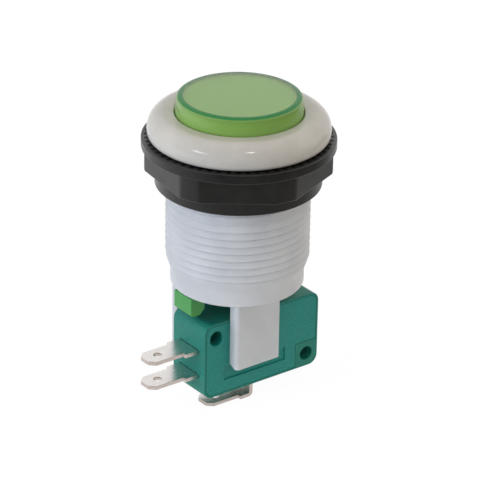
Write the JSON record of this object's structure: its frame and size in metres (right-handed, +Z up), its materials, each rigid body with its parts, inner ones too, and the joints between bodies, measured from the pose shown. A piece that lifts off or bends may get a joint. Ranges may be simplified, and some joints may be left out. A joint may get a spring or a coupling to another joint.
{
  "type": "arcade push button",
  "caption": "Round panel push button: translucent cap in a rounded bezel on a threaded barrel, with a flanged ring nut and a snap-action switch clipped under it.",
  "frame": {"origin": "on the button's axis, on the underside of the bezel, where the panel's face lies", "axes": "+Z up through the cap along the barrel's axis, X along the switch with its two end terminals at -X, front leg at -Y"},
  "size_m": [0.0407, 0.0374, 0.0641],
  "materials": {
    "body_nylon": "moulded, satin gloss, white",
    "cap_plastic": "moulded, clear green",
    "legend_sheet": "matt, pale",
    "plunger_plastic": "moulded, green",
    "spring_steel": "drawn wire",
    "nut_nylon": "moulded, satin, black",
    "case_resin": "moulded, fine matt, teal",
    "cover_resin": "moulded, fine matt, teal",
    "pin_resin": "moulded, teal",
    "plated_brass": "tin-nickel plate over stamped strip",
    "spring_copper": "stamped spring strip",
    "contact_silver": "silver contact"
  },
  "bodies": {
    "housing": {"button_body": "body_nylon", "switch_case": "case_resin", "switch_cover": "cover_resin", "common_terminal": "plated_brass", "closed_terminal": "plated_brass", "open_terminal": "plated_brass", "closed_contact": "contact_silver", "open_contact": "contact_silver", "return_spring": "spring_steel"},
    "button": {"cap": "cap_plastic", "legend_disc": "legend_sheet", "plunger": "plunger_plastic"},
    "nut": {"panel_nut": "nut_nylon"},
    "pin": {"actuator_pin": "pin_resin"},
    "blade": {"contact_blade": "spring_copper", "moving_contact": "contact_silver"}
  },
  "joints": [
    {"name": "button_press", "type": "slide", "parent": "housing", "child": "button", "axis": [0, 0, -1], "range_m": [0, 0.002], "stiffness_N_per_m": 300, "springref_m": -0.002, "deforming": ["return_spring"]},
    {"name": "nut_travel", "type": "slide", "parent": "housing", "child": "nut", "axis": [0, 0, -1], "range_m": [0, 0.014]},
    {"name": "pin_press", "type": "slide", "parent": "housing", "child": "pin", "axis": [0, 0, -1], "range_m": [0, 0.0014]},
    {"name": "blade_swing", "type": "hinge", "parent": "housing", "child": "blade", "pos_m": [0.006, 0, -0.04413], "axis": [0, -1, 0], "range_deg": [0, 5.4]}
  ],
  "couplings": [
    {"joint": "pin_press", "follows": "button_press", "ratio": 0.7},
    {"joint": "blade_swing", "follows": "button_press", "rad_per_m": 47.12}
  ]
}
